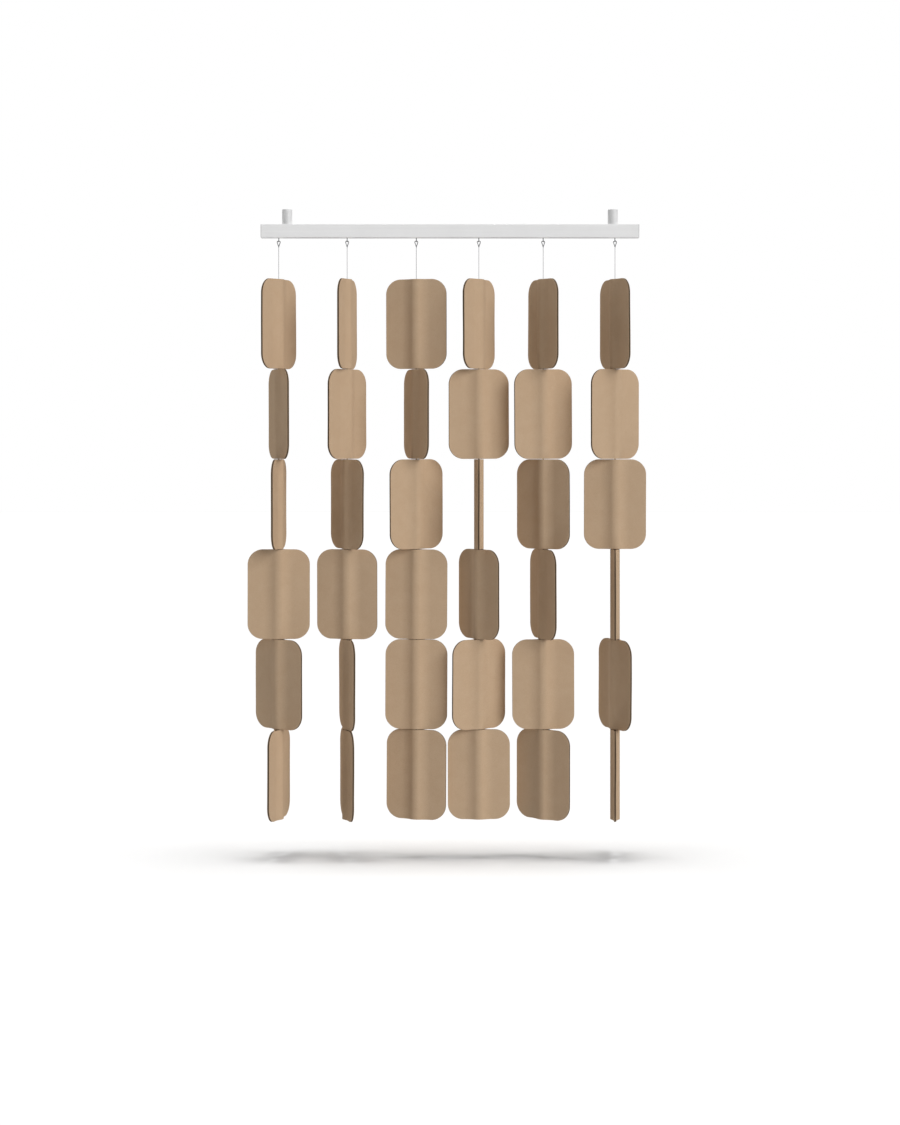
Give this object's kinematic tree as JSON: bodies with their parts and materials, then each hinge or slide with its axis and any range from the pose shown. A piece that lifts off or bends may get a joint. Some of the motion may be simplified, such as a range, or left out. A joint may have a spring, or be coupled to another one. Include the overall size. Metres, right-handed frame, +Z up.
{
  "type": "hanging acoustic panel",
  "caption": "Ceiling rail with wires that hang felt acoustic panels; every panel turns about its wire, and the strands slide along the rail.",
  "frame": {"origin": "on the ceiling plane, midway between the two ceiling stud holes", "axes": "+X along the rail, to the right as seen from the front; +Z up; the front faces -Y"},
  "size_m": [1.2647, 0.197, 1.9346],
  "materials": {
    "felt": "matt pressed felt, warm beige",
    "rail_paint": "satin light grey",
    "cap_plastic": "fine matt, light grey",
    "mount_aluminium": "satin turned",
    "screw_steel": "zinc plated",
    "glider_nylon": "natural nylon",
    "hook_chrome": "polished plate",
    "strand_steel": "bright stainless wire and fittings"
  },
  "bodies": {
    "rail_frame": {"rail": "rail_paint", "end_cap_left": "cap_plastic", "end_cap_right": "cap_plastic", "ceiling_mount_left": "mount_aluminium", "ceiling_mount_right": "mount_aluminium", "mount_screws": "screw_steel"},
    "glider_1": {"glider_1": "glider_nylon", "hook_1": "hook_chrome"},
    "strand_1": {"strand_1": "strand_steel"},
    "panel_c1_r1": {"panel_c1_r1": "felt"},
    "panel_c1_r2": {"panel_c1_r2": "felt"},
    "panel_c1_r3": {"panel_c1_r3": "felt"},
    "panel_c1_r4": {"panel_c1_r4": "felt"},
    "panel_c1_r5": {"panel_c1_r5": "felt"},
    "panel_c1_r6": {"panel_c1_r6": "felt"},
    "glider_2": {"glider_2": "glider_nylon", "hook_2": "hook_chrome"},
    "strand_2": {"strand_2": "strand_steel"},
    "panel_c2_r1": {"panel_c2_r1": "felt"},
    "panel_c2_r2": {"panel_c2_r2": "felt"},
    "panel_c2_r3": {"panel_c2_r3": "felt"},
    "panel_c2_r4": {"panel_c2_r4": "felt"},
    "panel_c2_r5": {"panel_c2_r5": "felt"},
    "panel_c2_r6": {"panel_c2_r6": "felt"},
    "glider_3": {"glider_3": "glider_nylon", "hook_3": "hook_chrome"},
    "strand_3": {"strand_3": "strand_steel"},
    "panel_c3_r1": {"panel_c3_r1": "felt"},
    "panel_c3_r2": {"panel_c3_r2": "felt"},
    "panel_c3_r3": {"panel_c3_r3": "felt"},
    "panel_c3_r4": {"panel_c3_r4": "felt"},
    "panel_c3_r5": {"panel_c3_r5": "felt"},
    "panel_c3_r6": {"panel_c3_r6": "felt"},
    "glider_4": {"glider_4": "glider_nylon", "hook_4": "hook_chrome"},
    "strand_4": {"strand_4": "strand_steel"},
    "panel_c4_r1": {"panel_c4_r1": "felt"},
    "panel_c4_r2": {"panel_c4_r2": "felt"},
    "panel_c4_r3": {"panel_c4_r3": "felt"},
    "panel_c4_r4": {"panel_c4_r4": "felt"},
    "panel_c4_r5": {"panel_c4_r5": "felt"},
    "panel_c4_r6": {"panel_c4_r6": "felt"},
    "glider_5": {"glider_5": "glider_nylon", "hook_5": "hook_chrome"},
    "strand_5": {"strand_5": "strand_steel"},
    "panel_c5_r1": {"panel_c5_r1": "felt"},
    "panel_c5_r2": {"panel_c5_r2": "felt"},
    "panel_c5_r3": {"panel_c5_r3": "felt"},
    "panel_c5_r4": {"panel_c5_r4": "felt"},
    "panel_c5_r5": {"panel_c5_r5": "felt"},
    "panel_c5_r6": {"panel_c5_r6": "felt"},
    "glider_6": {"glider_6": "glider_nylon", "hook_6": "hook_chrome"},
    "strand_6": {"strand_6": "strand_steel"},
    "panel_c6_r1": {"panel_c6_r1": "felt"},
    "panel_c6_r2": {"panel_c6_r2": "felt"},
    "panel_c6_r3": {"panel_c6_r3": "felt"},
    "panel_c6_r4": {"panel_c6_r4": "felt"},
    "panel_c6_r5": {"panel_c6_r5": "felt"},
    "panel_c6_r6": {"panel_c6_r6": "felt"}
  },
  "joints": [
    {"name": "glider_1_slide", "type": "slide", "parent": "rail_frame", "child": "glider_1", "axis": [1, 0, 0], "range_m": [-0.024, 0.0095]},
    {"name": "strand_1_swing", "type": "hinge", "parent": "glider_1", "child": "strand_1", "pos_m": [-0.54379, 0, -0.0998], "axis": [1, 0, 0], "range_deg": [-15, 15]},
    {"name": "panel_c1_r1_turn", "type": "hinge", "parent": "strand_1", "child": "panel_c1_r1", "pos_m": [-0.54379, 0, -0.3634], "axis": [0, 0, 1], "continuous": true},
    {"name": "panel_c1_r2_turn", "type": "hinge", "parent": "strand_1", "child": "panel_c1_r2", "pos_m": [-0.54379, 0, -0.6492], "axis": [0, 0, 1], "continuous": true},
    {"name": "panel_c1_r3_turn", "type": "hinge", "parent": "strand_1", "child": "panel_c1_r3", "pos_m": [-0.54379, 0, -0.935], "axis": [0, 0, 1], "continuous": true},
    {"name": "panel_c1_r4_turn", "type": "hinge", "parent": "strand_1", "child": "panel_c1_r4", "pos_m": [-0.54379, 0, -1.2208], "axis": [0, 0, 1], "continuous": true},
    {"name": "panel_c1_r5_turn", "type": "hinge", "parent": "strand_1", "child": "panel_c1_r5", "pos_m": [-0.54379, 0, -1.5066], "axis": [0, 0, 1], "continuous": true},
    {"name": "panel_c1_r6_turn", "type": "hinge", "parent": "strand_1", "child": "panel_c1_r6", "pos_m": [-0.54379, 0, -1.7924], "axis": [0, 0, 1], "continuous": true},
    {"name": "glider_2_slide", "type": "slide", "parent": "rail_frame", "child": "glider_2", "axis": [1, 0, 0], "range_m": [-0.0095, 0.0105]},
    {"name": "strand_2_swing", "type": "hinge", "parent": "glider_2", "child": "strand_2", "pos_m": [-0.32661, 0, -0.0998], "axis": [1, 0, 0], "range_deg": [-15, 15]},
    {"name": "panel_c2_r1_turn", "type": "hinge", "parent": "strand_2", "child": "panel_c2_r1", "pos_m": [-0.32661, 0, -0.3634], "axis": [0, 0, 1], "continuous": true},
    {"name": "panel_c2_r2_turn", "type": "hinge", "parent": "strand_2", "child": "panel_c2_r2", "pos_m": [-0.32661, 0, -0.6492], "axis": [0, 0, 1], "continuous": true},
    {"name": "panel_c2_r3_turn", "type": "hinge", "parent": "strand_2", "child": "panel_c2_r3", "pos_m": [-0.32661, 0, -0.935], "axis": [0, 0, 1], "continuous": true},
    {"name": "panel_c2_r4_turn", "type": "hinge", "parent": "strand_2", "child": "panel_c2_r4", "pos_m": [-0.32661, 0, -1.2208], "axis": [0, 0, 1], "continuous": true},
    {"name": "panel_c2_r5_turn", "type": "hinge", "parent": "strand_2", "child": "panel_c2_r5", "pos_m": [-0.32661, 0, -1.5066], "axis": [0, 0, 1], "continuous": true},
    {"name": "panel_c2_r6_turn", "type": "hinge", "parent": "strand_2", "child": "panel_c2_r6", "pos_m": [-0.32661, 0, -1.7924], "axis": [0, 0, 1], "continuous": true},
    {"name": "glider_3_slide", "type": "slide", "parent": "rail_frame", "child": "glider_3", "axis": [1, 0, 0], "range_m": [-0.0105, 0]},
    {"name": "strand_3_swing", "type": "hinge", "parent": "glider_3", "child": "strand_3", "pos_m": [-0.10692, 0, -0.0998], "axis": [1, 0, 0], "range_deg": [-15, 15]},
    {"name": "panel_c3_r1_turn", "type": "hinge", "parent": "strand_3", "child": "panel_c3_r1", "pos_m": [-0.10692, 0, -0.3634], "axis": [0, 0, 1], "continuous": true},
    {"name": "panel_c3_r2_turn", "type": "hinge", "parent": "strand_3", "child": "panel_c3_r2", "pos_m": [-0.10692, 0, -0.6492], "axis": [0, 0, 1], "continuous": true},
    {"name": "panel_c3_r3_turn", "type": "hinge", "parent": "strand_3", "child": "panel_c3_r3", "pos_m": [-0.10692, 0, -0.935], "axis": [0, 0, 1], "continuous": true},
    {"name": "panel_c3_r4_turn", "type": "hinge", "parent": "strand_3", "child": "panel_c3_r4", "pos_m": [-0.10692, 0, -1.2208], "axis": [0, 0, 1], "continuous": true},
    {"name": "panel_c3_r5_turn", "type": "hinge", "parent": "strand_3", "child": "panel_c3_r5", "pos_m": [-0.10692, 0, -1.5066], "axis": [0, 0, 1], "continuous": true},
    {"name": "panel_c3_r6_turn", "type": "hinge", "parent": "strand_3", "child": "panel_c3_r6", "pos_m": [-0.10692, 0, -1.7924], "axis": [0, 0, 1], "continuous": true},
    {"name": "glider_4_slide", "type": "slide", "parent": "rail_frame", "child": "glider_4", "axis": [1, 0, 0], "range_m": [0, 0.003]},
    {"name": "strand_4_swing", "type": "hinge", "parent": "glider_4", "child": "strand_4", "pos_m": [0.09161, 0, -0.0998], "axis": [1, 0, 0], "range_deg": [-15, 15]},
    {"name": "panel_c4_r1_turn", "type": "hinge", "parent": "strand_4", "child": "panel_c4_r1", "pos_m": [0.09161, 0, -0.3634], "axis": [0, 0, 1], "continuous": true},
    {"name": "panel_c4_r2_turn", "type": "hinge", "parent": "strand_4", "child": "panel_c4_r2", "pos_m": [0.09161, 0, -0.6492], "axis": [0, 0, 1], "continuous": true},
    {"name": "panel_c4_r3_turn", "type": "hinge", "parent": "strand_4", "child": "panel_c4_r3", "pos_m": [0.09161, 0, -0.935], "axis": [0, 0, 1], "continuous": true},
    {"name": "panel_c4_r4_turn", "type": "hinge", "parent": "strand_4", "child": "panel_c4_r4", "pos_m": [0.09161, 0, -1.2208], "axis": [0, 0, 1], "continuous": true},
    {"name": "panel_c4_r5_turn", "type": "hinge", "parent": "strand_4", "child": "panel_c4_r5", "pos_m": [0.09161, 0, -1.5066], "axis": [0, 0, 1], "continuous": true},
    {"name": "panel_c4_r6_turn", "type": "hinge", "parent": "strand_4", "child": "panel_c4_r6", "pos_m": [0.09161, 0, -1.7924], "axis": [0, 0, 1], "continuous": true},
    {"name": "glider_5_slide", "type": "slide", "parent": "rail_frame", "child": "glider_5", "axis": [1, 0, 0], "range_m": [-0.003, 0.0145]},
    {"name": "strand_5_swing", "type": "hinge", "parent": "glider_5", "child": "strand_5", "pos_m": [0.29588, 0, -0.0998], "axis": [1, 0, 0], "range_deg": [-15, 15]},
    {"name": "panel_c5_r1_turn", "type": "hinge", "parent": "strand_5", "child": "panel_c5_r1", "pos_m": [0.29588, 0, -0.3634], "axis": [0, 0, 1], "continuous": true},
    {"name": "panel_c5_r2_turn", "type": "hinge", "parent": "strand_5", "child": "panel_c5_r2", "pos_m": [0.29588, 0, -0.6492], "axis": [0, 0, 1], "continuous": true},
    {"name": "panel_c5_r3_turn", "type": "hinge", "parent": "strand_5", "child": "panel_c5_r3", "pos_m": [0.29588, 0, -0.935], "axis": [0, 0, 1], "continuous": true},
    {"name": "panel_c5_r4_turn", "type": "hinge", "parent": "strand_5", "child": "panel_c5_r4", "pos_m": [0.29588, 0, -1.2208], "axis": [0, 0, 1], "continuous": true},
    {"name": "panel_c5_r5_turn", "type": "hinge", "parent": "strand_5", "child": "panel_c5_r5", "pos_m": [0.29588, 0, -1.5066], "axis": [0, 0, 1], "continuous": true},
    {"name": "panel_c5_r6_turn", "type": "hinge", "parent": "strand_5", "child": "panel_c5_r6", "pos_m": [0.29588, 0, -1.7924], "axis": [0, 0, 1], "continuous": true},
    {"name": "glider_6_slide", "type": "slide", "parent": "rail_frame", "child": "glider_6", "axis": [1, 0, 0], "range_m": [-0.0145, 0.044]},
    {"name": "strand_6_swing", "type": "hinge", "parent": "glider_6", "child": "strand_6", "pos_m": [0.52382, 0, -0.0998], "axis": [1, 0, 0], "range_deg": [-15, 15]},
    {"name": "panel_c6_r1_turn", "type": "hinge", "parent": "strand_6", "child": "panel_c6_r1", "pos_m": [0.52382, 0, -0.3634], "axis": [0, 0, 1], "continuous": true},
    {"name": "panel_c6_r2_turn", "type": "hinge", "parent": "strand_6", "child": "panel_c6_r2", "pos_m": [0.52382, 0, -0.6492], "axis": [0, 0, 1], "continuous": true},
    {"name": "panel_c6_r3_turn", "type": "hinge", "parent": "strand_6", "child": "panel_c6_r3", "pos_m": [0.52382, 0, -0.935], "axis": [0, 0, 1], "continuous": true},
    {"name": "panel_c6_r4_turn", "type": "hinge", "parent": "strand_6", "child": "panel_c6_r4", "pos_m": [0.52382, 0, -1.2208], "axis": [0, 0, 1], "continuous": true},
    {"name": "panel_c6_r5_turn", "type": "hinge", "parent": "strand_6", "child": "panel_c6_r5", "pos_m": [0.52382, 0, -1.5066], "axis": [0, 0, 1], "continuous": true},
    {"name": "panel_c6_r6_turn", "type": "hinge", "parent": "strand_6", "child": "panel_c6_r6", "pos_m": [0.52382, 0, -1.7924], "axis": [0, 0, 1], "continuous": true}
  ]
}
